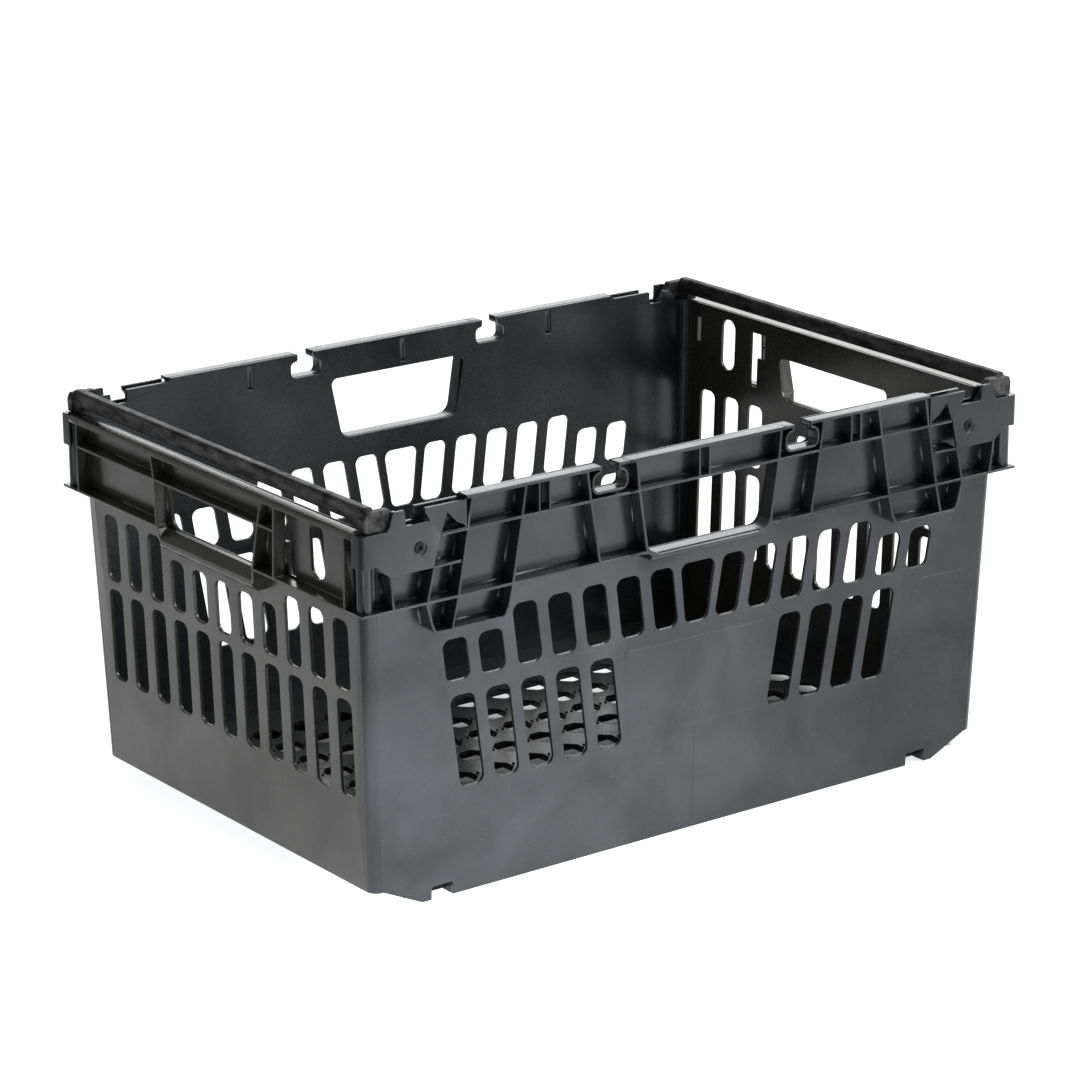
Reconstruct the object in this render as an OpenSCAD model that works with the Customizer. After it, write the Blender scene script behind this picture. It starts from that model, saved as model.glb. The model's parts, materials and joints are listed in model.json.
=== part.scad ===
// Ventilated stacking and nesting tray with two swinging bale arms.
// Origin at the centre of the base underside, X along the length, Y along the width, Z up.
// The long walls face -Y and +Y, the end walls -X and +X. Millimetres.

/* [Tray size] */
// Length over the rim
rim_length = 600; // [590:1:620]
// Width over the rim
rim_width = 400; // [392:1:420]
// Height of the long rims above the base
tray_height = 300; // [296:1:312]
// Length of the body at the base
base_length = 562.4; // [552:0.2:563]
// Width of the body at the base
base_width = 359.4; // [352:0.2:360]
// Lean of the walls from the vertical, in degrees
draft = 2; // [1.6:0.05:2]
// Outer radius of the upright corners
corner_r = 9; // [6:0.5:12]

/* [Moulding] */
// Thickness of the walls
wall_t = 2.8; // [2.4:0.1:3.2]
// Thickness of the rim's ribs
rib_t = 2; // [1.6:0.1:2.4]
// Thickness of the rim's outer plates at the corners
plate_t = 2.4; // [2:0.1:2.6]
// Height of the end walls' lower edges and of the floor above the base
end_lift = 15.7; // [12:0.1:17]

/* [Ventilation] */
// Spacing of the slots along the walls
slot_pitch = 30.6; // [29:0.1:31]
// Width of a long wall's slots
slot_w = 21; // [16:0.1:22]
// Width of an end wall's slots
end_slot_w = 18.5; // [14:0.5:22]
// Radius of a slot's corners
slot_r = 6; // [3:0.5:7]
// Sideways lean of the long walls' slots, as run over rise
slot_lean = 0.15; // [0:0.01:0.18]
// Spacing of the holes in the floor
floor_pitch = 33.5; // [30:0.5:36]
// Width of a hole in the floor
floor_hole = 22; // [16:0.5:24]

/* [Hand holes] */
// Half width of a hand hole at its top
grip_half_top = 64; // [56:1:66]
// Half width of a hand hole at its bottom
grip_half_low = 55; // [46:1:56]
// Radius of a hand hole's lower corners
grip_r = 9; // [6:0.5:12]

// Sideways offset of the openings, the same way round on each side of the tray
offset_x = 2; // [0:0.1:3]

/* [Bale arms] */
// Distance from the rim's end to the pivots
pivot_inset = 48.6; // [47:0.1:49]
// Depth of the pivots below the long rims
pivot_drop = 30.1; // [29.5:0.1:30.5]
// Diameter of the pivot pins
pin_d = 8; // [6:0.1:8.4]
// Radial running clearance of a pin in the tray
pin_play = 0.06; // [0.03:0.01:0.1]
// Thickness of an arm's legs
leg_t = 6.5; // [5:0.1:6.6]
// Width of an arm's bar
bar_w = 8.5; // [6:0.1:8.8]
// Height of an arm's bar
bar_h = 12.2; // [10:0.1:12.6]

/* [Hidden] */
half_l = rim_length / 2;
half_w = rim_width / 2;
body_x = base_length / 2;
body_y = base_width / 2;
lean = tan(draft);
top_z = tray_height;
end_top = top_z - 14;        // top of the end rims and of the corner shelves
seat_z = top_z - 2.7;        // where a bar rests when it is swung inboard
mid_z = top_z - 24;          // middle rib of the long rims
sub_z = top_z - 46;          // short rib beside the corner plates
low_z = top_z - 72;          // underside of the lower flange
pocket_z = top_z - 95;       // bottom of the pockets under the lower flange
end_mid_z = top_z - 36;      // middle rib of the end rims
end_lip_z = top_z - 88;      // bottom of the end grips
grip_low = top_z - 73.3;     // bottom of the long walls' hand holes
end_grip_top = top_z - 39;
end_grip_low = top_z - 73;
lip_t = 2.5;                 // thickness of the top flange
pivot_x = half_l - pivot_inset;
pivot_z = top_z - pivot_drop;
bar_out = 37.3;              // bar's centre, outboard of the pivot at rest
bar_top = top_z + 3.5;       // top of the bars at rest
eye_r = 9;
knuckle = 10;                // how far a knuckle reaches along the bar, from the leg
leg_gap = 0.5;               // between a leg and the corner plate
leg_y = half_w - plate_t - leg_gap - leg_t;
groove_in = 213.4;           // base grooves, from the centre
groove_out = 231.7;
groove_h = 10;
skid_end = 239.5;            // where the long walls' lower edges start to rise
floor_z = end_lift;
floor_t = 3;
reach = 700;                 // larger than the tray

// ---- outlines ---------------------------------------------------------------

// Points of an arc of radius r that rounds the corner at p between a and b.
function corner_arc(a, p, b, r, steps = 5) =
    let (u = (a - p) / norm(a - p), v = (b - p) / norm(b - p))
    let (half = acos(u * v) / 2, centre = p + (u + v) / norm(u + v) * r / sin(half))
    let (start = p + u * r / tan(half) - centre)
    let (sweep = (180 - 2 * half) * sign(v.x * u.y - v.y * u.x))
    [for (i = [0:steps])
        let (t = sweep * i / steps)
        centre + [start.x * cos(t) - start.y * sin(t), start.x * sin(t) + start.y * cos(t)]];

// An outline whose corners are given as [x, y, radius].
function rounded(pts) =
    let (n = len(pts))
    [for (i = [0:n - 1])
        let (p = pts[i], a = pts[(i + n - 1) % n], b = pts[(i + 1) % n])
        each (p.z > 0
            ? corner_arc([a.x, a.y], [p.x, p.y], [b.x, b.y], p.z)
            : [[p.x, p.y]])];

// The outline and its mirror image about the vertical axis.
module both_sides() {
    children();
    mirror([1, 0, 0]) children();
}

// A slot between two heights, leaning by run over rise about its lower end.
module slot(x, z0, z1, slant, w = slot_w, r = slot_r) {
    dx = slant * (z1 - z0) / 2;
    h = w / 2;
    polygon(rounded([[x - dx - h, z0, r], [x - dx + h, z0, r], [x + dx + h, z1, r], [x + dx - h, z1, r]]));
}

// A straight rib of even thickness from one point to another.
module rib(a, b, t = rib_t) {
    polygon([[a.x - t / 2, a.y], [b.x - t / 2, b.y], [b.x + t / 2, b.y], [a.x + t / 2, a.y]]);
}

// A level rib between two places along the rim, centred on height z.
module ledge(x0, x1, z, t = rib_t) {
    translate([x0, z - t / 2]) square([x1 - x0, t]);
}

// ---- placing ----------------------------------------------------------------

// A wall panel whose outer face leans out from the base, facing -Y.
module panel(base_half) {
    translate([0, -base_half, 0]) rotate([90 + draft, 0, 0])
        translate([0, 0, -wall_t]) linear_extrude(wall_t) children();
}

// What lies outside the leaning outer face of a wall that faces -Y.
module outside(base_half) {
    difference() {
        children();
        translate([-reach / 2, -base_half, 0]) rotate([draft, 0, 0])
            translate([0, 0, -reach / 4]) cube([reach, base_half, reach]);
    }
}

// An outline in X and Z, thickened from depth y0 to y1.
module upright(y0, y1) {
    translate([0, y1, 0]) rotate([90, 0, 0]) linear_extrude(y1 - y0) children();
}

module to_left_end() rotate([0, 0, -90]) children();

// Where a panel ends beside a corner post, at height v up the panel.
function panel_end(half_len, v) = half_len - corner_r * cos(draft) + v * sin(draft);

// ---- walls ------------------------------------------------------------------

// Right half of a long wall's outline, from the bottom centre outward and up.
long_wall_half = [
    [groove_in, 0, 0], [groove_in, groove_h, 0], [groove_out, groove_h, 0], [groove_out, 0, 0],
    [skid_end, 0, 0], [panel_end(body_x, end_lift), end_lift, 0],
    [panel_end(body_x, end_top), end_top, 0], [half_l - 22, end_top, 0],
    [half_l - 29, top_z - 4, 3], [half_l - 36.5, top_z - 4, 1.5],
    [half_l - 37, top_z - 12.5, 1], [half_l - 50, top_z - 12.5, 1],
    [half_l - 50, seat_z, 1.5], [half_l - 87, seat_z, 0], [half_l - 90, top_z, 0]];

// An outline joined to its mirror image about the vertical axis.
function both_halves(pts) = concat(pts, [for (i = [len(pts) - 1:-1:0]) [-pts[i].x, pts[i].y, pts[i].z]]);

// Omega-shaped notch through the long rim, grown outward by g.
function omega(x, g = 0) = rounded([
    [x - 7.5 - g, top_z + 5, 0], [x - 7.5 - g, top_z - 6 + g, 2.5 - g],
    [x - 14 - g, top_z - 6 + g, 4 + g], [x - 14 - g, top_z - 18.5 - g, 4 + g],
    [x + 14 + g, top_z - 18.5 - g, 4 + g], [x + 14 + g, top_z - 6 + g, 4 + g],
    [x + 7.5 + g, top_z - 6 + g, 2.5 - g], [x + 7.5 + g, top_z + 5, 0]]);

notch_x = 88;
cleat_xs = [-147.5, -5, 137.5];  // slits under the long rims
cleat_w = 5.5;

function grip_outline(z_top, z_low, half_top, half_low, r_top = 5) = rounded([
    [-half_low, z_low, grip_r], [half_low, z_low, grip_r],
    [half_top, z_top, r_top], [-half_top, z_top, r_top]]);

module long_wall_slots() {
    last = 7;
    for (k = [-last:last])
        if (k == 0)
            polygon(rounded([[-10.3, 162, slot_r], [10.3, 162, slot_r],
                [16.3, 208.5, slot_r], [-16.3, 208.5, slot_r]]));
        else
            slot(k * slot_pitch, 162, abs(k) >= 6 ? 193.5 : 208.5, slot_lean * sign(k));
    for (k = [-7:-3])
        slot(k * slot_pitch + 10, 80.5, 150.5, -slot_lean);
    for (k = [3:6])
        slot(k * slot_pitch - 7, 80.5, 150.5, slot_lean);
}

module long_wall() {
    color("#4b4e54") panel(body_y) difference() {
        polygon(rounded(both_halves(long_wall_half)));
        for (s = [-1, 1]) polygon(omega(s * notch_x));
        translate([offset_x, 0]) {
            long_wall_slots();
            polygon(grip_outline(mid_z - 1, grip_low, grip_half_top, grip_half_low));
            for (x = cleat_xs)
                translate([x - cleat_w / 2, mid_z + 3]) square([cleat_w, top_z - mid_z - 3 - lip_t]);
        }
    }
}

module end_wall_slots() {
    for (k = [-5:5]) {
        slot(k * slot_pitch, 162.5, abs(k) >= 3 ? 214.5 : 202, 0, end_slot_w);
        slot(k * slot_pitch, 83, 155.5, 0, end_slot_w);
    }
}

// Holes beside the hand hole of an end wall, on the side that faces +X here.
module end_wall_clips() {
    slot(131, 237, 279, 0, 17, 8);
    translate([93, 230.5]) square([9, 44.5]);
    translate([84, 255]) square([9.1, 20]);
    translate([166.5, 254]) square([4.5, 20]);
}

module end_wall() {
    low = [panel_end(body_y, end_lift), end_lift];
    high = [panel_end(body_y, end_top), end_top];
    color("#46483f") to_left_end() panel(body_x) difference() {
        polygon([[-low.x, low.y], low, high, [-high.x, high.y]]);
        translate([offset_x, 0]) end_wall_slots();
        end_wall_clips();
        polygon(grip_outline(end_grip_top, end_grip_low, 66, 60));
    }
}

// Rounded upright edge between the front wall and the left end wall.
module post() {
    tilt = atan(lean * cos(draft));
    inset = corner_r / cos(draft);
    quarter = acos(sin(draft) * sin(draft));
    color("#4b4d4f") intersection() {
        translate([-body_x + inset, -body_y + inset, 0]) rotate([tilt, -draft, 0])
            rotate([0, 0, 180]) rotate_extrude(angle = quarter, $fn = 96)
                translate([corner_r - wall_t, -20]) square([wall_t, top_z + 40]);
        translate([-reach / 2, -reach / 2, end_lift]) cube([reach, reach, end_top - end_lift]);
    }
}

// ---- rims -------------------------------------------------------------------

// Flange around the body between two heights, with the body's own outline cut out.
module ring_flange(z, t) {
    bx = body_x + (z + t) * lean;
    by = body_y + (z + t) * lean;
    c = corner_r;
    translate([0, 0, z]) linear_extrude(t) difference() {
        square([rim_length, rim_width], center = true);
        polygon(rounded([[-bx, -by, c], [bx, -by, c], [bx, by, c], [-bx, by, c]]));
    }
}

module long_ribs() {
    rib([half_l - 23.4, low_z + 25.5], [half_l - 26.5, low_z]);
    rib([half_l - 60, sub_z], [half_l - 54, low_z]);
    rib([half_l - 54, low_z], [half_l - 58.3, pocket_z + 6]);
    rib([half_l - 92.4, top_z - lip_t], [half_l - 89, mid_z]);
    rib([half_l - 89, mid_z], [half_l - 80, low_z]);
    rib([half_l - 80, low_z], [half_l - 74.5, pocket_z]);
    rib([161.5, top_z - lip_t], [165, mid_z]);
    rib([165, mid_z], [173.5, low_z]);
    rib([173.5, low_z], [177.5, pocket_z + 6]);
    rib([108, top_z - lip_t], [105, mid_z]);
    rib([105, mid_z], [97, low_z]);
    ledge(half_l - 83, half_l - 60, sub_z);
    ledge(184, half_l - 64, pocket_z + rib_t / 2);
}

// Ribs that run around the hand hole's lower corners, and the cleats' ribs.
module grip_ribs() {
    both_sides() rib([66, top_z - lip_t], [64, mid_z]);
    difference() {
        polygon(grip_outline(mid_z, grip_low - rib_t, grip_half_top + 1, grip_half_low + rib_t, 0));
        polygon(grip_outline(mid_z + 1, grip_low, grip_half_top - 1, grip_half_low, 0));
        translate([grip_r - grip_half_low, grip_low - rib_t - 1]) square([2 * (grip_half_low - grip_r), rib_t + 2]);
    }
    for (x = cleat_xs, d = [-4.5, 4.5]) rib([x + d, top_z - lip_t], [x + d, mid_z], 1.6);
}

// Rounded lower corners of the pockets.
module pocket_corners() {
    for (s = [[184, 1], [half_l - 64.3, -1]])
        translate([s[0], pocket_z + 6.5]) intersection() {
            difference() {
                circle(r = 6.5, $fn = 48);
                circle(r = 6.5 - rib_t, $fn = 48);
            }
            translate([s[1] > 0 ? -8 : 0, -8]) square([8, 8.5]);
        }
}

module long_rim() {
    color("#484b52") {
        outside(body_y) {
            upright(-half_w, -body_y) difference() {
                union() {
                    both_sides() {
                        long_ribs();
                        pocket_corners();
                        ledge(0, half_l - 66, mid_z);
                    }
                    for (s = [-1, 1]) polygon(omega(s * notch_x, rib_t));
                    translate([offset_x, 0]) grip_ribs();
                    translate([88 - half_l, top_z - lip_t]) square([rim_length - 176, lip_t]);
                }
                for (s = [-1, 1]) polygon(omega(s * notch_x));
                translate([-half_l, top_z]) square([rim_length, 10]);
            }
            // rounded lower edge of the hand hole
            translate([offset_x - roll_half, -half_w + roll_t / 2, grip_low - roll_t / 2]) rotate([0, 90, 0])
                cylinder(r = roll_t / 2, h = 2 * roll_half, $fn = 48);
            translate([offset_x - roll_half, -half_w + roll_t / 2, grip_low - roll_t])
                cube([2 * roll_half, half_w - body_y, roll_t]);
        }
        // lower flange, up to the corner of the body
        difference() {
            ring_flange(low_z, rib_t);
            translate([-reach / 2, -body_y + 1, 0]) cube([reach, reach, top_z]);
            translate([offset_x - grip_half_low, -half_w - 1, 0]) cube([2 * grip_half_low, 40, top_z]);
        }
    }
}

// The part of a long rim between two distances along it.
module rim_span(x0, x1) {
    intersection() {
        long_rim();
        translate([x0, -half_w - 1, 0]) cube([x1 - x0, half_w, top_z + 1]);
    }
}

// Ribs of an end rim; +X here is the side with the clip holes.
module end_ribs() {
    rib([-72.4, end_top - 1], [-68.3, end_mid_z]);
    rib([-68.3, end_mid_z], [-66.4, low_z]);
    rib([-66.4, low_z + rib_t], [-grip_roll, end_lip_z + 7]);
    rib([76, end_top - 1], [70, end_mid_z]);
    rib([70, end_mid_z], [62, low_z]);
    rib([62, low_z + rib_t], [grip_roll, end_lip_z + 7]);
    rib([91.5, end_top - 1], [89, low_z]);
    ledge(-rim_half, 90, end_mid_z);
    rib([1 - rim_half, end_top - 1], [1 - rim_half, low_z]);
    rib([rim_half - 1, end_top - 1], [rim_half - 1, low_z]);
}

roll_t = 5.2;           // thickness of the long walls' finger rolls
roll_half = grip_half_low - 2;
hold_half = 70;         // where the long rims' hand holds meet the rest of the rim
rim_half = body_y - 1;  // where the end rims' ribs stop, beside the corner posts
grip_roll = 62;         // half length of the finger roll

module end_rim() {
    color("#42443c") to_left_end() {
        outside(body_x) {
            upright(-half_l, -body_x) end_ribs();
            // turned-down outer lip
            upright(-half_l, -half_l + rib_t)
                translate([-body_y - 8, end_top - 5]) square([2 * body_y + 16, 5]);
            // finger roll under the hand hole
            translate([grip_roll, 0, 0]) rotate([0, -90, 0]) linear_extrude(2 * grip_roll)
                polygon(rounded([[end_grip_low, -body_x, 0], [end_grip_low, -body_x - 12, 1],
                    [end_grip_low - 6, -half_l, 2.4], [end_grip_low - 11, -half_l, 2.4],
                    [end_lip_z, -half_l + 4, 1.5], [end_lip_z, -body_x, 0]]));
        }
        // lower flange, open over the hand hole, and top flange
        difference() {
            rotate([0, 0, 90]) {
                ring_flange(low_z, rib_t);
                ring_flange(end_top - lip_t, lip_t);
            }
            translate([-reach / 2, -body_x + 8, 0]) cube([reach, reach, top_z]);
            for (s = [-1, 1]) {
                translate([s * (reach / 2 + body_y - 1), 0, low_z])
                    cube([reach, reach, 40], center = true);
                translate([s * (reach / 2 + body_y + 8.7), 0, end_top])
                    cube([reach, reach, 40], center = true);
            }
            translate([-grip_roll - 1, -half_l - 1, low_z - 1]) cube([2 * grip_roll + 2, 40, rib_t + 2]);
        }
    }
}

// ---- corners ----------------------------------------------------------------

// Outer plate of a corner, in distance from the tray's centre and height.
function corner_plate() = rounded([
    [half_l, top_z - 38, 0], [half_l, end_top, 1], [half_l - 21, end_top, 0],
    [half_l - 23.5, top_z - 11, 1], [half_l - 26.5, top_z - 1, 3], [half_l - 36.5, top_z - 1, 1.2],
    [half_l - 37, top_z - 12.5, 1], [half_l - 57, top_z - 12.5, 0.8], [half_l - 55.5, top_z - 9.4, 0.6],
    [half_l - 53, top_z - 5.4, 0.8], [half_l - 53, top_z - lip_t, 0.8], [half_l - 88, top_z - lip_t, 0],
    [half_l - 88, mid_z + rib_t / 2, 0], [half_l - 65.4, mid_z + rib_t / 2, 0],
    [half_l - 60, top_z - 46.5, 0], [half_l - 23, top_z - 46.5, 0], [half_l - 12, top_z - 37, 0]]);

module corner() {
    color("#4a4d53") intersection() {
        corner_parts();
        // rounds the outer upright edge
        linear_extrude(top_z) polygon(rounded([[-half_l, -half_w, 4], [0, -half_w, 0], [0, 0, 0], [-half_l, 0, 0]]));
    }
}

module corner_parts() {
    union() {
        difference() {
            upright(-half_w, -half_w + plate_t) difference() {
                mirror([1, 0, 0]) polygon(corner_plate());
                mirror([1, 0, 0]) polygon([[half_l - 71.4, top_z - 8.7], [half_l - 79.6, top_z - 17.3],
                    [half_l - 86.3, top_z - 20.7], [half_l - 86.3, mid_z + 1.6], [half_l - 66.6, mid_z + 1.6]]);
            }
            // pivot hole with a shallow counterbore
            translate([-pivot_x, -half_w - 1, pivot_z]) rotate([-90, 0, 0])
                cylinder(r = pin_d / 2 + pin_play, h = 10, $fn = 96);
            translate([-pivot_x, -half_w - 1, pivot_z]) rotate([-90, 0, 0])
                cylinder(r = 5.6, h = 2, $fn = 96);
        }
        // side plate, wrapped around onto the end
        translate([-half_l, -half_w + plate_t, top_z - 38]) cube([plate_t, 10, 38 - 14]);
        // shelf that the arm rests on
        translate([-half_l + plate_t, -half_w + plate_t, end_top - lip_t])
            cube([14, half_w - body_y - plate_t - 8.7, lip_t]);
        // round column under the shelf
        translate([-half_l + 7.5, -half_w + 8.2, low_z + rib_t])
            cylinder(r = 5.5, h = end_top - lip_t - low_z - rib_t, $fn = 64);
    }
}

// ---- base -------------------------------------------------------------------

floor_half_l = body_x + floor_z * lean - wall_t;
floor_half_w = body_y + floor_z * lean - wall_t;

module floor_outline() {
    r = corner_r - wall_t;
    polygon(rounded([[-floor_half_l, -floor_half_w, r], [floor_half_l, -floor_half_w, r],
        [floor_half_l, floor_half_w, r], [-floor_half_l, floor_half_w, r]]));
}

module floor_grid() {
    nx = floor((floor_half_l - floor_hole / 2 - 6) / floor_pitch);
    ny = floor((floor_half_w - floor_hole / 2 - 6) / floor_pitch);
    color("#3a3c3e") {
        translate([0, 0, floor_z]) linear_extrude(floor_t) difference() {
            floor_outline();
            for (i = [-nx:nx], j = [-ny:ny])
                translate([i * floor_pitch, j * floor_pitch])
                    rotate(22.5) circle(d = floor_hole / cos(22.5), $fn = 8);
        }
    }
}

// Rail that the tray stands on, along the front wall, with grooves across it.
module skid() {
    rail = 10;
    color("#3a3c3e") difference() {
        translate([-skid_end, wall_t - body_y, 0]) cube([2 * skid_end, rail, floor_z]);
        for (s = [-1, 1]) translate([s > 0 ? groove_in : -groove_out, -body_y, -1])
            cube([groove_out - groove_in, wall_t + rail + 1, groove_h + 1]);
    }
}

// ---- bale arms --------------------------------------------------------------

// Side view of a leg and its knuckle, in distance from the tray's centre and height.
function leg_outline() = rounded([
    [half_l - 4.5, top_z - 4, 3], [half_l - 6.5, top_z + 1, 3], [half_l - 26, top_z + 1, 3],
    [half_l - 30, top_z - 5, 3], [half_l - 40, top_z - 18, 6],
    [pivot_x + 2, pivot_z + eye_r - 0.4, 0], [pivot_x + 4, pivot_z - eye_r + 1.2, 0],
    [half_l - 17, end_top + 0.3, 3], [half_l - 5, end_top + 0.3, 2]]);

module bale_arm() {
    bar_x = pivot_x + bar_out;
    bar_z = bar_top - bar_h / 2;
    color("#2b2b2a") difference() {
        union() {
            for (y = [-leg_y - leg_t, leg_y]) {
                upright(y, y + leg_t) mirror([1, 0, 0]) polygon(leg_outline());
                translate([-pivot_x, y, pivot_z]) rotate([-90, 0, 0])
                    cylinder(r = eye_r, h = leg_t, $fn = 96);
            }
            upright(-leg_y - 1, leg_y + 1) mirror([1, 0, 0]) polygon(rounded([
                [bar_x - bar_w / 2, bar_z - bar_h / 2, 1.5], [bar_x + bar_w / 2, bar_z - bar_h / 2, 2],
                [bar_x + bar_w / 2, bar_z + bar_h / 2, 2.5], [bar_x - bar_w / 2, bar_z + bar_h / 2, 2.5]]));
            // knuckles under the bar's ends, that rest on the corners
            for (y = [-leg_y - 1, leg_y - knuckle]) upright(y, y + knuckle + 1) mirror([1, 0, 0])
                polygon(rounded([[bar_x - bar_w / 2, end_top + 0.4, 1], [half_l - 6.5, end_top + 0.4, 2],
                    [half_l - 6.5, top_z - 4, 3], [half_l - 8, top_z, 2], [bar_x - bar_w / 2, top_z, 0]]));
        }
        for (s = [-1, 1]) translate([-pivot_x, s * (leg_y + leg_t / 2), pivot_z]) rotate([90, 0, 0])
            cylinder(r = pin_d / 2, h = leg_t + 4, center = true, $fn = 96);
    }
}

// Pivot pin through the leg at the front of the left arm.
module pivot_pin() {
    color("#35363a") difference() {
        translate([-pivot_x, -half_w + 0.5, pivot_z]) rotate([-90, 0, 0])
            cylinder(r = pin_d / 2, h = half_w - leg_y - 0.5, $fn = 96);
        translate([-pivot_x, -half_w, pivot_z]) rotate([-90, 0, 0])
            cylinder(r = 1.8, h = 2, $fn = 48);
    }
}

module half_turn() rotate([0, 0, 180]) children();
module to_back() mirror([0, 1, 0]) children();
module to_right() mirror([1, 0, 0]) children();

long_wall();  // front_wall
half_turn() long_wall();  // back_wall
end_wall();  // left_end_wall
half_turn() end_wall();  // right_end_wall
post();  // front_left_post
to_right() post();  // front_right_post
to_back() post();  // back_left_post
to_right() to_back() post();  // back_right_post
rim_span(-half_l, -hold_half);  // front_left_rim
rim_span(-hold_half, hold_half);  // front_hand_hold
rim_span(hold_half, half_l);  // front_right_rim
half_turn() rim_span(hold_half, half_l);  // back_left_rim
half_turn() rim_span(-hold_half, hold_half);  // back_hand_hold
half_turn() rim_span(-half_l, -hold_half);  // back_right_rim
end_rim();  // left_end_rim
half_turn() end_rim();  // right_end_rim
corner();  // front_left_corner
to_right() corner();  // front_right_corner
to_back() corner();  // back_left_corner
to_right() to_back() corner();  // back_right_corner
floor_grid();
skid();  // front_skid
to_back() skid();  // back_skid
bale_arm();  // left_bale_arm
to_right() bale_arm();  // right_bale_arm
pivot_pin();  // left_front_pin
to_back() pivot_pin();  // left_back_pin
to_right() pivot_pin();  // right_front_pin
to_right() to_back() pivot_pin();  // right_back_pin
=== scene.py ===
"""Looks of the ventilated bale arm tray.

Materials, fine detail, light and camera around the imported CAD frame.
The front wall faces -Y, the left end wall -X.
"""

import json
import math

import bmesh
import bpy
from mathutils import Matrix, Vector
from mathutils.bvhtree import BVHTree

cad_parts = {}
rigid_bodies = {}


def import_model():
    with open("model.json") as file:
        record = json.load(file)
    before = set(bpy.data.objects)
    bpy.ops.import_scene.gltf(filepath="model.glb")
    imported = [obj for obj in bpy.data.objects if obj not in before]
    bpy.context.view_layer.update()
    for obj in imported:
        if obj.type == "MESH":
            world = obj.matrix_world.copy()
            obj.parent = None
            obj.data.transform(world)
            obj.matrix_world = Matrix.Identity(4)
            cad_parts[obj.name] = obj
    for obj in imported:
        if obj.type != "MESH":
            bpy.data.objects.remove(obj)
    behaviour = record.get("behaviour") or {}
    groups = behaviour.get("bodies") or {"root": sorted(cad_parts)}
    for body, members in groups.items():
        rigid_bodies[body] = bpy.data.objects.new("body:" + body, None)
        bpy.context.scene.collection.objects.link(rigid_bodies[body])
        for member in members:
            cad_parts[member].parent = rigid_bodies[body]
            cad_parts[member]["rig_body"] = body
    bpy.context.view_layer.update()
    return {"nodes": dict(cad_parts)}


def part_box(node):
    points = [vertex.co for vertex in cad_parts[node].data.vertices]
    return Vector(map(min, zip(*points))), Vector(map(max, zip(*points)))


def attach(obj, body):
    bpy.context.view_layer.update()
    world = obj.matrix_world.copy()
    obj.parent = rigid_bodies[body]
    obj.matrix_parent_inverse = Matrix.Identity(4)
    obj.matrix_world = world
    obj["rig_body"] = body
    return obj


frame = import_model()
scene = bpy.context.scene
MM = 0.001

# ---- camera -------------------------------------------------------------------

CAMERA_PLACE = Vector((-1.751436, -2.362943, 1.099387))
CAMERA_YAW = math.radians(53.48582)  # from +X, about Z
CAMERA_PITCH = math.radians(-17.39503)
CAMERA_ROLL = math.radians(-0.28238)
LENS_MM = 135.1513
SENSOR_MM = 36.0


def make_camera():
    """Looks at the tray's front left corner, from the photograph's angle."""
    ahead = Vector((
        math.cos(CAMERA_PITCH) * math.cos(CAMERA_YAW),
        math.cos(CAMERA_PITCH) * math.sin(CAMERA_YAW),
        math.sin(CAMERA_PITCH),
    ))
    level = ahead.cross(Vector((0, 0, 1))).normalized()
    above = level.cross(ahead)
    right = level * math.cos(CAMERA_ROLL) + above * math.sin(CAMERA_ROLL)
    up = above * math.cos(CAMERA_ROLL) - level * math.sin(CAMERA_ROLL)
    data = bpy.data.cameras.new("camera")
    data.lens = LENS_MM
    data.sensor_width = SENSOR_MM
    camera = bpy.data.objects.new("camera", data)
    turn = Matrix((right, up, -ahead)).transposed().to_4x4()
    camera.matrix_world = Matrix.Translation(CAMERA_PLACE) @ turn
    scene.collection.objects.link(camera)
    scene.camera = camera


make_camera()

# ---- materials ----------------------------------------------------------------


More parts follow.
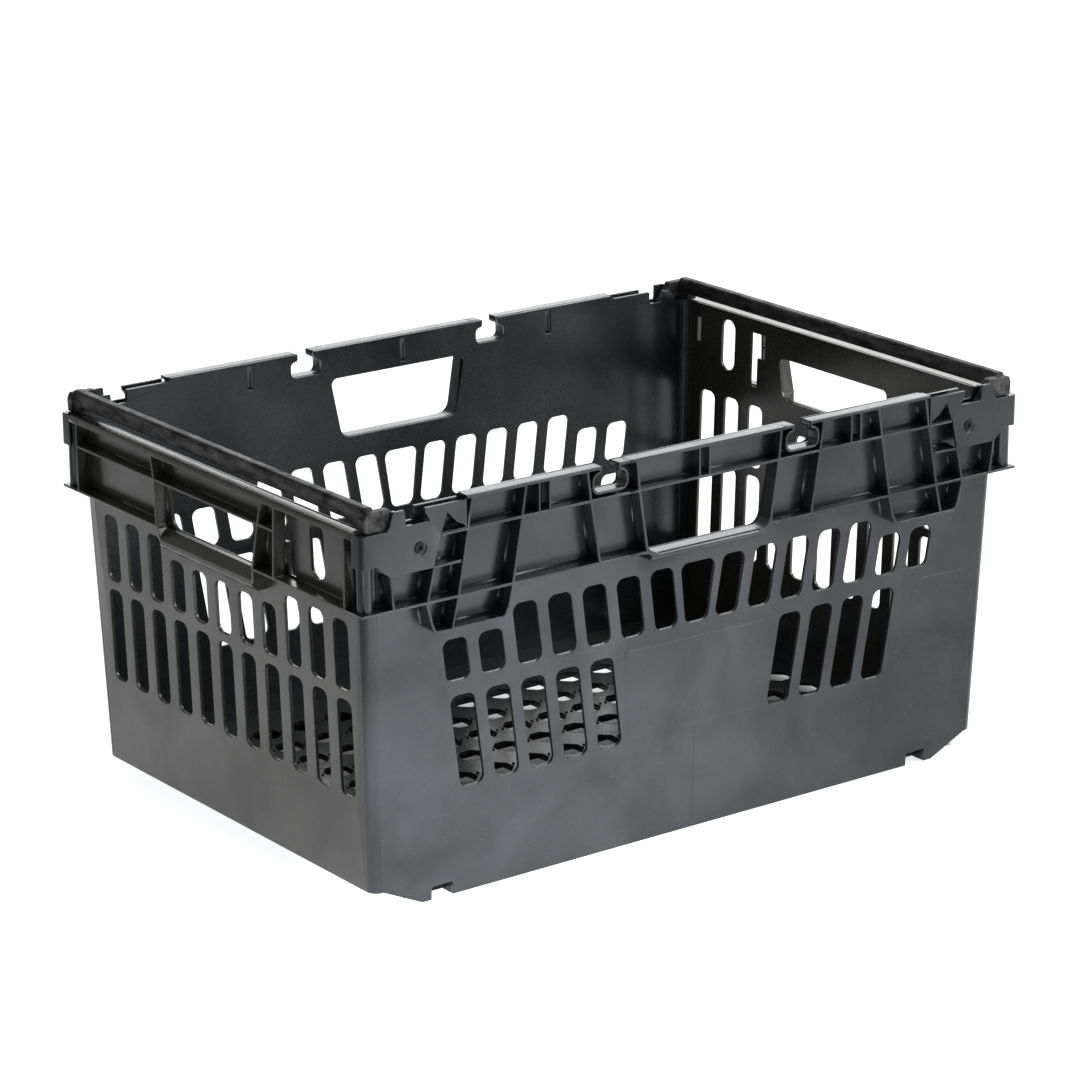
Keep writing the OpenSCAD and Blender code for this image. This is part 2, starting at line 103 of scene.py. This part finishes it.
class Nodes:
    """Builds one material's nodes, in the space of the object, in metres."""

    def __init__(self, name):
        self.material = bpy.data.materials.new(name)
        self.material.use_nodes = True
        self.tree = self.material.node_tree
        self.shader = self.tree.nodes["Principled BSDF"]
        self.place = self.add("ShaderNodeTexCoord").outputs["Object"]

    def add(self, kind, **settings):
        node = self.tree.nodes.new(kind)
        for name, value in settings.items():
            setattr(node, name, value)
        return node

    def feed(self, socket, value):
        if isinstance(value, bpy.types.NodeSocket):
            self.tree.links.new(value, socket)
        else:
            socket.default_value = value

    def stretched(self, x, y, z):
        node = self.add("ShaderNodeMapping")
        self.feed(node.inputs["Vector"], self.place)
        node.inputs["Scale"].default_value = (x, y, z)
        return node.outputs["Vector"]

    def noise(self, scale, detail=2.0, rough=0.5, place=None, distortion=0.0):
        node = self.add("ShaderNodeTexNoise")
        self.feed(node.inputs["Vector"], place or self.place)
        node.inputs["Scale"].default_value = scale
        node.inputs["Detail"].default_value = detail
        node.inputs["Roughness"].default_value = rough
        node.inputs["Distortion"].default_value = distortion
        return node.outputs["Fac"]

    def spread(self, value, low, high, to_low, to_high):
        node = self.add("ShaderNodeMapRange", clamp=True)
        self.feed(node.inputs["Value"], value)
        for name, number in zip(("From Min", "From Max", "To Min", "To Max"), (low, high, to_low, to_high)):
            node.inputs[name].default_value = number
        return node.outputs["Result"]

    def maths(self, operation, a, b):
        node = self.add("ShaderNodeMath", operation=operation)
        self.feed(node.inputs[0], a)
        self.feed(node.inputs[1], b)
        return node.outputs[0]

    def within(self, value, low, high):
        above = self.maths("GREATER_THAN", value, low)
        return self.maths("MULTIPLY", above, self.maths("LESS_THAN", value, high))

    def mix(self, factor, a, b):
        node = self.add("ShaderNodeMix", data_type="RGBA")
        self.feed(node.inputs["Factor"], factor)
        self.feed(node.inputs["A"], a)
        self.feed(node.inputs["B"], b)
        return node.outputs["Result"]

    def bump(self, height, distance, strength, under=None):
        node = self.add("ShaderNodeBump")
        self.feed(node.inputs["Height"], height)
        node.inputs["Distance"].default_value = distance
        node.inputs["Strength"].default_value = strength
        if under is not None:
            self.feed(node.inputs["Normal"], under)
        return node.outputs["Normal"]


def tray_plastic(name, base, painted_light_tint, gloss=1.0):
    """Satin recycled polypropylene, with flow marks, clouds of tone, dust specks and fine scuffs."""
    n = Nodes(name)
    clouds = n.noise(6.0, 5.0, 0.6, distortion=0.7)
    flow = n.noise(34.0, 4.0, 0.65, place=n.stretched(1.0, 1.0, 0.14), distortion=0.5)
    streaks = n.noise(30.0, 3.0, 0.6, place=n.stretched(0.12, 0.12, 1.8), distortion=0.3)
    mottle = n.noise(210.0, 3.0, 0.7)
    specks = n.spread(n.noise(620.0, 1.0, 0.4), 0.70, 0.76, 0.0, 1.0)
    scuffs = n.noise(26.0, 6.0, 0.75, place=n.stretched(0.35, 0.35, 2.2), distortion=1.2)
    scuffs = n.spread(scuffs, 0.64, 0.74, 0.0, 1.0)
    dark = (*[c * 0.80 for c in base], 1)
    light = (*[c * 1.28 for c in base], 1)
    tone = n.mix(n.spread(clouds, 0.32, 0.68, 0.0, 1.0), dark, light)
    tone = n.mix(n.spread(flow, 0.4, 0.72, 0.0, 0.45), tone, (*[c * 1.9 for c in base], 1))
    tone = n.mix(n.spread(streaks, 0.5, 0.75, 0.0, 0.35), tone, (*[c * 0.55 for c in base], 1))
    tone = n.mix(n.spread(mottle, 0.45, 0.75, 0.0, 0.35), tone, (*[c * 1.4 for c in base], 1))
    tone = n.mix(n.maths("MULTIPLY", scuffs, 0.30), tone, (0.07, 0.07, 0.072, 1))
    tone = n.mix(n.maths("MULTIPLY", specks, 0.12), tone, (0.20, 0.20, 0.195, 1))
    n.feed(n.shader.inputs["Base Color"], tone)
    blend = n.maths("ADD", n.maths("MULTIPLY", clouds, 0.4), n.maths("MULTIPLY", flow, 0.35))
    blend = n.maths("ADD", blend, n.maths("MULTIPLY", mottle, 0.25))
    n.feed(n.shader.inputs["Roughness"], n.spread(blend, 0.36, 0.64, 0.17, 0.32))
    patches = n.noise(15.0, 3.0, 0.5, distortion=0.6)
    shine = n.maths("ADD", n.maths("MULTIPLY", patches, 0.9), n.maths("MULTIPLY", mottle, 0.1))
    n.feed(n.shader.inputs["Specular IOR Level"], n.spread(shine, 0.34, 0.66, 0.40 * gloss, 0.64 * gloss))
    n.shader.inputs["IOR"].default_value = 1.52
    # the reflections' tint is painted light: it stands in for the light's colour, bluish on the long walls
    # and the floor and warm on the ends
    n.shader.inputs["Specular Tint"].default_value = (*painted_light_tint, 1)
    peel = n.bump(n.noise(60.0, 2.0, 0.5), 0.0004, 0.16)
    grain = n.bump(n.noise(1500.0, 2.0, 0.6), 0.00008, 0.22, peel)
    n.feed(n.shader.inputs["Normal"], n.bump(scuffs, 0.0001, 0.3, grain))
    return n.material


def arm_plastic():
    """Rough brown-black arms with a mottled, fibrous, dusty skin."""
    n = Nodes("arm_plastic")
    blotches = n.noise(55.0, 5.0, 0.65, distortion=0.8)
    fibres = n.noise(150.0, 4.0, 0.7, place=n.stretched(1.0, 0.22, 1.0))
    dust = n.spread(n.noise(420.0, 3.0, 0.6), 0.60, 0.72, 0.0, 1.0)
    blotched = n.spread(blotches, 0.36, 0.66, 0.0, 1.0)
    tone = n.mix(blotched, (0.006, 0.006, 0.0055, 1), (0.021, 0.021, 0.0195, 1))
    tone = n.mix(n.spread(fibres, 0.45, 0.72, 0.0, 0.55), tone, (0.036, 0.036, 0.034, 1))
    tone = n.mix(n.maths("MULTIPLY", dust, 0.40), tone, (0.075, 0.075, 0.072, 1))
    n.feed(n.shader.inputs["Base Color"], tone)
    n.feed(n.shader.inputs["Roughness"], n.spread(blotches, 0.3, 0.7, 0.62, 0.42))
    n.feed(n.shader.inputs["Specular IOR Level"], n.spread(fibres, 0.38, 0.66, 0.08, 0.80))
    n.shader.inputs["IOR"].default_value = 1.47
    skin = n.bump(n.maths("ADD", blotches, n.maths("MULTIPLY", fibres, 0.7)), 0.0006, 0.35)
    n.feed(n.shader.inputs["Normal"], n.bump(n.noise(900.0, 2.0, 0.6), 0.00012, 0.5, skin))
    return n.material


def pin_plastic():
    """Satin stubs, coloured near-black so that each pivot reads as one dark dot, with turned rings on their
    ends.
    """
    n = Nodes("pin_plastic")
    wear = n.noise(240.0, 3.0, 0.6)
    worn = n.spread(wear, 0.4, 0.7, 0.0, 0.6)
    n.feed(n.shader.inputs["Base Color"], n.mix(worn, (0.004, 0.004, 0.004, 1), (0.012, 0.012, 0.013, 1)))
    n.shader.inputs["Specular IOR Level"].default_value = 0.2
    n.feed(n.shader.inputs["Roughness"], n.spread(wear, 0.3, 0.7, 0.34, 0.5))
    n.feed(n.shader.inputs["Normal"], n.bump(n.noise(1300.0, 1.0, 0.5), 0.00006, 0.4))
    return n.material


# The long walls and the end walls are one plastic. The ends' copy is about twice as light and olive where the
# walls' copy is bluish. That is painted light: the brighter, warmer light on the ends and the bluish light on
# the front.
WALL = tray_plastic("tray_plastic", (0.0090, 0.0098, 0.0108), (0.90, 0.95, 1.0))
ENDS_PAINTED_LIGHT = tray_plastic("tray_plastic_ends_painted_light", (0.0190, 0.0193, 0.0166), (0.99, 1.0, 0.95))
FLOOR = tray_plastic("tray_plastic_floor", (0.0100, 0.0105, 0.0105), (0.95, 0.98, 1.0), 0.35)
ARM = arm_plastic()
PIN = pin_plastic()

# ---- CAD nodes ----------------------------------------------------------------

SHARP = math.cos(math.radians(30))  # edges that turn by more than this are rounded
TOUCHING = 0.00006  # metres within which one node lies on another
WELD = 0.00001
SLIGHT = 0.25  # share of the full rounding, away from an end rim's upper outer edge


def dress(obj, material):
    """Gives an object its one material."""
    obj.data.materials.clear()
    obj.data.materials.append(material)


def inside(point, low, high):
    return all(low[i] <= point[i] <= high[i] for i in range(3))


def touches(point, tree, low, high):
    """Whether a place lies on the surface of another node."""
    return inside(point, low, high) and tree.find_nearest(point, TOUCHING)[0] is not None


def welded(mesh):
    """Each vertex's place, the same for vertices that lie together."""
    return [tuple(round(c * 50000) for c in v.co) for v in mesh.vertices]


def on_top_edge(point):
    """On an end rim's upper outer edge, that is rounded more than the others."""
    return abs(point.x) > 299.9 * MM and point.z > 285.9 * MM


def mark_sharp(obj, others, shortest):
    """Marks for rounding the longer sharp edges that don't lie on another region of the same moulding."""
    mesh = obj.data
    is_end_rim = obj.name.endswith("end_rim")
    key = welded(mesh)
    sides = {}
    for face in mesh.polygons:
        for a, b in face.edge_keys:
            sides.setdefault(frozenset((key[a], key[b])), []).append(face.normal.copy())
    weight = mesh.attributes.new("bevel_weight_edge", "FLOAT", "EDGE")
    for edge in mesh.edges:
        a, b = edge.vertices
        normals = sides.get(frozenset((key[a], key[b])), [])
        if len(normals) != 2 or normals[0].dot(normals[1]) > SHARP:
            continue
        if (mesh.vertices[a].co - mesh.vertices[b].co).length < shortest:
            continue
        middle = (mesh.vertices[a].co + mesh.vertices[b].co) / 2
        if any(touches(middle, *other) for other in others):
            continue
        weight.data[edge.index].value = 1.0 if not is_end_rim or on_top_edge(middle) else SLIGHT


def soften(obj, width, segments, shortest, others):
    """Rounds the sharp moulded edges, without moving the mesh itself."""
    mark_sharp(obj, others, shortest)
    weld = obj.modifiers.new("weld", "WELD")
    weld.merge_threshold = WELD
    bevel = obj.modifiers.new("edges", "BEVEL")
    bevel.width = width
    bevel.segments = segments
    bevel.limit_method = "WEIGHT"
    bevel.use_clamp_overlap = False
    for face in obj.data.polygons:
        face.use_smooth = True
    normals = obj.modifiers.new("normals", "WEIGHTED_NORMAL")
    normals.weight = 60
    normals.keep_sharp = False


LOOKS = (  # part of the node's name, material, slot, rounding, its segments and the shortest edge rounded
    ("pin", PIN, "pin_plastic", 0.4 * MM, 2, 0),
    ("arm", ARM, "arm_plastic", 0.5 * MM, 3, 0),
    ("floor", FLOOR, "tray_plastic", 0.5 * MM, 2, 0),
    ("skid", FLOOR, "tray_plastic", 0.5 * MM, 2, 0),
    ("end_rim", ENDS_PAINTED_LIGHT, "tray_plastic", 1.8 * MM, 4, 1.2 * MM),
    ("end", ENDS_PAINTED_LIGHT, "tray_plastic", 0.45 * MM, 2, 0),
    ("corner", WALL, "tray_plastic", 0.45 * MM, 2, 0.32 * MM),
    ("hold", WALL, "tray_plastic", 0.45 * MM, 2, 1.0 * MM),
    ("rim", WALL, "tray_plastic", 0.6 * MM, 2, 0),
    ("", WALL, "tray_plastic", 0.45 * MM, 2, 0),
)


def surface(obj):
    """A node's faces, to find places on them, and a box a little larger than the node."""
    low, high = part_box(obj.name)
    room = Vector((1, 1, 1)) * TOUCHING
    tree = BVHTree.FromPolygons([v.co for v in obj.data.vertices], [p.vertices for p in obj.data.polygons])
    return tree, low - room, high + room


surfaces = {name: surface(obj) for name, obj in frame["nodes"].items()}
for name, obj in sorted(frame["nodes"].items()):
    body = obj["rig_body"]
    others = [surfaces[n] for n, o in frame["nodes"].items() if n != name and o["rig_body"] == body]
    _, material, slot, width, segments, shortest = next(look for look in LOOKS if look[0] in name)
    dress(obj, material)
    soften(obj, width, segments, shortest, others)

# ---- fine detail --------------------------------------------------------------

BODY_X = 281.2 * MM
BODY_Y = 179.7 * MM
WALL_LEAN = math.tan(math.radians(2))


def new_object(name, bm, material, body="tray"):
    bmesh.ops.recalc_face_normals(bm, faces=bm.faces)
    mesh = bpy.data.meshes.new(name)
    bm.to_mesh(mesh)
    bm.free()
    obj = bpy.data.objects.new(name, mesh)
    scene.collection.objects.link(obj)
    dress(obj, material)
    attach(obj, body)
    return obj


def on_wall(x, z, out=0.0):
    """A place on the front wall's outer face, or that far outside it."""
    return Vector((x, -(BODY_Y + z * WALL_LEAN) - out, z))


def on_end(y, z, out=0.0):
    """A place on the left end wall's outer face, seen from outside with y to the left."""
    return Vector((-(BODY_X + z * WALL_LEAN) - out, -y, z))


def fillet(bm, place, start, end, half, radius, reach, sides=(-1, 1)):
    """Concave fillets at a rib's root, from start to end in (along, height), up to the rib's reach."""
    start, end = Vector(start), Vector(end)
    along = (end - start).normalized()
    across = Vector((-along.y, along.x))
    arc = [math.radians(a) for a in (0, 22.5, 45, 67.5, 90)]
    profile = [(radius * (1 - math.sin(a)), radius * (1 - math.cos(a))) for a in arc]
    profile.append((-0.4 * half, -0.2 * MM))  # inside the rib and the wall
    for side in sides:
        rings = []
        for point in (start, end):
            ring = []
            for wide, tall in profile:
                p = point + across * side * (half + wide)
                ring.append(bm.verts.new(place(p.x, p.y, min(tall, reach))))
            rings.append(ring)
        count = len(profile)
        for i in range(count):
            j = (i + 1) % count
            face = bm.faces.new((rings[0][i], rings[0][j], rings[1][j], rings[1][i]))
            face.smooth = i < count - 2
        for ring in rings:
            bm.faces.new(ring)


def mirrored(lines):
    return lines + [((-a[0], a[1]), (-b[0], b[1])) for a, b in lines]


# Heights of the rims' level ribs, and the ribs' middle lines, as the CAD has them, in millimetres.
MID_Z, SUB_Z, LOW_Z, POCKET_Z = 276.0, 254.0, 228.0, 205.0
LONG_RIBS = mirrored([
    ((276.6, 253), (273.5, 229)), ((240, 254), (246, 229)), ((246, 228), (241.7, 211)),
    ((207.6, 297), (211, 277)), ((211, 275), (220, 229)), ((220, 228), (225.5, 206)),
    ((161.5, 297), (165, 277)), ((165, 275), (173.5, 229)), ((173.5, 228), (177.5, 211)),
    ((108, 297), (105, 277)), ((105, 275), (97, 229)),
    ((217, SUB_Z), (240, SUB_Z)), ((184, POCKET_Z + 1), (236, POCKET_Z + 1)), ((67, MID_Z), (234, MID_Z)),
    ((60, LOW_Z + 1), (288, LOW_Z + 1)),
])
LEFT_OF, RIGHT_OF = (1,), (-1,)  # sides of a rib, looking along it
GRIP_RIBS = [
    ((-62, MID_Z), (66, MID_Z), LEFT_OF), ((68, 297), (66, 277), LEFT_OF), ((-64, 297), (-62, 277), RIGHT_OF),
    ((66, 275), (59.4, 238), LEFT_OF), ((59.4, 238), (57.6, 231), LEFT_OF),
    ((-62, 275), (-55.4, 238), RIGHT_OF), ((-55.4, 238), (-53.6, 231), RIGHT_OF),
]
END_MID_Z = 264.0
END_RIBS = [
    ((-72.2, 283), (-68.3, 265)), ((-68.3, 263), (-66.4, 230)), ((75.8, 283), (70, 265)),
    ((91.4, 283), (91, 277)), ((90.2, 253), (89, 230)),
    ((-178, END_MID_Z), (-70, END_MID_Z)), ((70, END_MID_Z), (82, END_MID_Z)),
    ((-180, LOW_Z + 1), (-63, LOW_Z + 1)), ((63, LOW_Z + 1), (180, LOW_Z + 1)),
    ((-178.7, 283), (-178.7, 230)), ((178.7, 283), (178.7, 230)),
]
END_GRIP_RIBS = [((-68, END_MID_Z), (70, END_MID_Z), LEFT_OF), ((70, 263), (62, 230), LEFT_OF)]


RIB_HALF = 1.0 * MM
FILLET_RADIUS = 1.4 * MM
FILLET_REACH = 9 * MM


def rib_fillets(name, place, lines, one_sided, material, turned):
    bm = bmesh.new()
    for a, b, sides in [(*line, (-1, 1)) for line in lines] + one_sided:
        start, end = ([c * MM for c in point] for point in (a, b))
        fillet(bm, place, start, end, RIB_HALF, FILLET_RADIUS, FILLET_REACH, sides)
    if turned:
        bm.transform(Matrix.Rotation(math.pi, 4, "Z"))
    new_object(name, bm, material)


for side, turned in (("front", False), ("back", True)):
    rib_fillets(side + "_rib_fillets", on_wall, LONG_RIBS, GRIP_RIBS, WALL, turned)
for side, turned in (("left", False), ("right", True)):
    rib_fillets(side + "_end_rib_fillets", on_end, END_RIBS, END_GRIP_RIBS, ENDS_PAINTED_LIGHT, turned)


def raised_panel(name, corners, thickness, turned=False):
    """A barely raised panel of the moulding, with soft edges, on the front wall."""
    bm = bmesh.new()
    count = len(corners)
    rings = []
    for grow, out in ((0.5, -0.15), (0.2, 0.5 * thickness), (-0.35, thickness)):
        middle = Vector((sum(c[0] for c in corners) / count, sum(c[1] for c in corners) / count))
        ring = []
        for c in corners:
            v = Vector(c)
            v += (v - middle).normalized() * grow
            ring.append(bm.verts.new(on_wall(v.x * MM, v.y * MM, out * MM)))
        rings.append(ring)
    for low, high in zip(rings, rings[1:]):
        for i in range(count):
            j = (i + 1) % count
            bm.faces.new((low[i], low[j], high[j], high[i]))
    bm.faces.new(rings[-1])
    bm.faces.new(rings[0])
    if turned:
        bm.transform(Matrix.Rotation(math.pi, 4, "Z"))
    new_object(name, bm, WALL)


def round_corners(corners, radius, steps=5):
    """The outline with its corners rounded."""
    out = []
    count = len(corners)
    for i, corner in enumerate(corners):
        p = Vector(corner)
        before = (Vector(corners[i - 1]) - p).normalized()
        after = (Vector(corners[(i + 1) % count]) - p).normalized()
        for k in range(steps + 1):
            t = k / steps
            out.append(p + before * radius * (1 - t) ** 2 + after * radius * t ** 2)
    return out


LABEL = round_corners([(-63.5, 151.5), (-58.5, 84), (63, 82), (70, 149.5)], 3)
SIDE_PANEL = round_corners([(203, 64), (272, 62), (273, 150), (216, 152)], 9)
WELD_LINE = [(2.7, 8), (3.3, 8), (3.3, 80), (2.7, 80)]
for name, corners, thickness in (
    ("label_panel", LABEL, 0.25),
    ("side_panel", SIDE_PANEL, 0.2),
    ("weld_line", WELD_LINE, 0.12),
):
    raised_panel("front_" + name, corners, thickness)
    raised_panel("back_" + name, corners, thickness, True)

FLOOR_TOP = 18.7 * MM
PITCH = 33.5 * MM  # of the holes in the floor
PIP_RADIUS = 1.25 * MM
PIP_SHIFT = 2.6 * MM
FLOOR_RIB_HALF = 1.2 * MM
FLOOR_RIB_LOW, FLOOR_RIB_HIGH = 10.5 * MM, 15.8 * MM
FLOOR_RIB_X, FLOOR_RIB_Y = 236 * MM, 166.5 * MM  # how far the ribs reach from the middle


def floor_pips():
    """Pairs of small round pips on the bars of the floor."""
    pip = bmesh.new()
    bmesh.ops.create_uvsphere(pip, u_segments=12, v_segments=6, radius=PIP_RADIUS)
    points = [v.co.copy() for v in pip.verts]
    shapes = [[v.index for v in face.verts] for face in pip.faces]
    pip.free()
    bm = bmesh.new()
    for i in range(-8, 8):
        for j in range(-4, 5):
            for shift in (-PIP_SHIFT, PIP_SHIFT):
                place = Vector(((i + 0.5) * PITCH + shift, j * PITCH, FLOOR_TOP + 0.1 * MM))
                verts = [bm.verts.new(place + point) for point in points]
                for shape in shapes:
                    bm.faces.new([verts[k] for k in shape]).smooth = True
    new_object("floor_pips", bm, FLOOR)


def box(bm, low, high):
    middle = (Vector(low) + Vector(high)) / 2
    size = Vector(high) - Vector(low)
    bmesh.ops.create_cube(bm, size=1.0, matrix=Matrix.Translation(middle) @ Matrix.Diagonal((*size, 1)))


def floor_ribs():
    """Ribs under the bars of the floor, between the skids."""
    bm = bmesh.new()
    half = FLOOR_RIB_HALF
    for i in range(-7, 7):
        x = (i + 0.5) * PITCH
        box(bm, (x - half, -FLOOR_RIB_Y, FLOOR_RIB_LOW), (x + half, FLOOR_RIB_Y, FLOOR_RIB_HIGH))
    for j in range(-5, 5):
        y = (j + 0.5) * PITCH
        box(bm, (-FLOOR_RIB_X, y - half, FLOOR_RIB_LOW), (FLOOR_RIB_X, y + half, FLOOR_RIB_HIGH))
    ribs = new_object("floor_ribs", bm, FLOOR)
    bevel = ribs.modifiers.new("edges", "BEVEL")
    bevel.width = 0.4 * MM
    bevel.segments = 2


floor_pips()
floor_ribs()

# ---- light and floor ----------------------------------------------------------

STUDIO_HALF = 9.0
FLOOR_GLOW = 0.92  # a floor lit from below, as for a cut-out picture
FRONT_GLOW = (1.2, -0.3)  # added to it in front of the tray's left part and of its right part


SHADED_X, SHADED_Y = (-0.245, 0.275), (-0.165, 0.175)  # the ground under the tray, that doesn't glow


def make_floor():
    """A plain pale floor, whose glow gives the dark plastic something to reflect."""
    bm = bmesh.new()
    bmesh.ops.create_grid(bm, x_segments=2, y_segments=2, size=STUDIO_HALF)
    mesh = bpy.data.meshes.new("studio_floor")
    bm.to_mesh(mesh)
    bm.free()
    floor = bpy.data.objects.new("studio_floor", mesh)
    floor.location = (0, 0, -0.0004)
    scene.collection.objects.link(floor)
    n = Nodes("studio_floor")
    n.feed(n.shader.inputs["Base Color"], (0.50, 0.50, 0.50, 1))
    n.feed(n.shader.inputs["Emission Color"], (0.97, 0.985, 1.0, 1))
    split = n.add("ShaderNodeSeparateXYZ")
    n.feed(split.inputs["Vector"], n.place)
    x, y = split.outputs["X"], split.outputs["Y"]
    slanted = n.maths("ADD", x, n.maths("MULTIPLY", n.maths("ADD", y, 0.18), 0.74))
    front = n.spread(slanted, -0.08, 0.22, *FRONT_GLOW)
    front = n.maths("MULTIPLY", front, n.spread(y, -0.25, -0.05, 1.0, 0.0))
    under = n.maths("MULTIPLY", n.within(x, *SHADED_X), n.within(y, *SHADED_Y))
    # some of the glow creeps in from the back
    lit = n.maths("MULTIPLY", n.spread(x, -0.05, 0.12, 0.0, 1.0), n.spread(x, 0.17, 0.27, 1.0, 0.0))
    lit = n.maths("MULTIPLY", lit, n.spread(y, 0.03, 0.14, 0.0, 1.0))
    shade = n.maths("MULTIPLY", under, n.maths("SUBTRACT", 1.0, lit))
    glow = n.maths("ADD", FLOOR_GLOW, front)
    glow = n.maths("MULTIPLY", glow, n.maths("SUBTRACT", 1.0, shade))
    # the glow falls off far to the left and far in front
    far = n.maths("MULTIPLY", n.spread(x, -0.74, -0.60, 0.0, 1.0), n.spread(y, -0.85, -0.62, 0.50, 1.0))
    n.feed(n.shader.inputs["Emission Strength"], n.maths("MULTIPLY", glow, far))
    n.feed(n.shader.inputs["Roughness"], 0.9)
    n.shader.inputs["Specular IOR Level"].default_value = 0.1
    mesh.materials.append(n.material)


def softbox(name, place, aim, width, height, radiance, colour):
    data = bpy.data.lights.new(name, "AREA")
    data.shape = "RECTANGLE"
    data.size = width
    data.size_y = height
    data.energy = radiance * math.pi * width * height
    data.color = colour
    light = bpy.data.objects.new(name, data)
    light.location = place
    light.rotation_euler = (Vector(aim) - Vector(place)).to_track_quat("-Z", "Y").to_euler()
    scene.collection.objects.link(light)


def make_light():
    world = bpy.data.worlds.new("studio")
    world.use_nodes = True
    world.node_tree.nodes["Background"].inputs["Color"].default_value = (0.975, 0.99, 1.0, 1)
    world.node_tree.nodes["Background"].inputs["Strength"].default_value = 0.32
    scene.world = world
    centre = (0, 0, 0.15)
    softbox("softbox_back", (1.9, 2.3, 1.5), centre, 3.4, 1.7, 2.6, (1.0, 1.0, 1.0))
    softbox("softbox_top", (-0.2, -0.2, 2.8), centre, 2.0, 2.0, 0.8, (1.0, 1.0, 1.0))
    softbox("softbox_edges", (1.7, -1.7, 1.7), centre, 1.8, 1.8, 7.0, (1.0, 1.0, 1.0))
    softbox("softbox_front", (0.9, -3.0, 0.42), centre, 3.0, 0.8, 1.6, (0.92, 0.96, 1.0))
    softbox("softbox_left", (-3.0, 0.6, 0.42), centre, 2.2, 0.8, 0.8, (1.0, 1.0, 0.95))


make_floor()
make_light()
scene.view_settings.view_transform = "Standard"
scene.view_settings.look = "None"
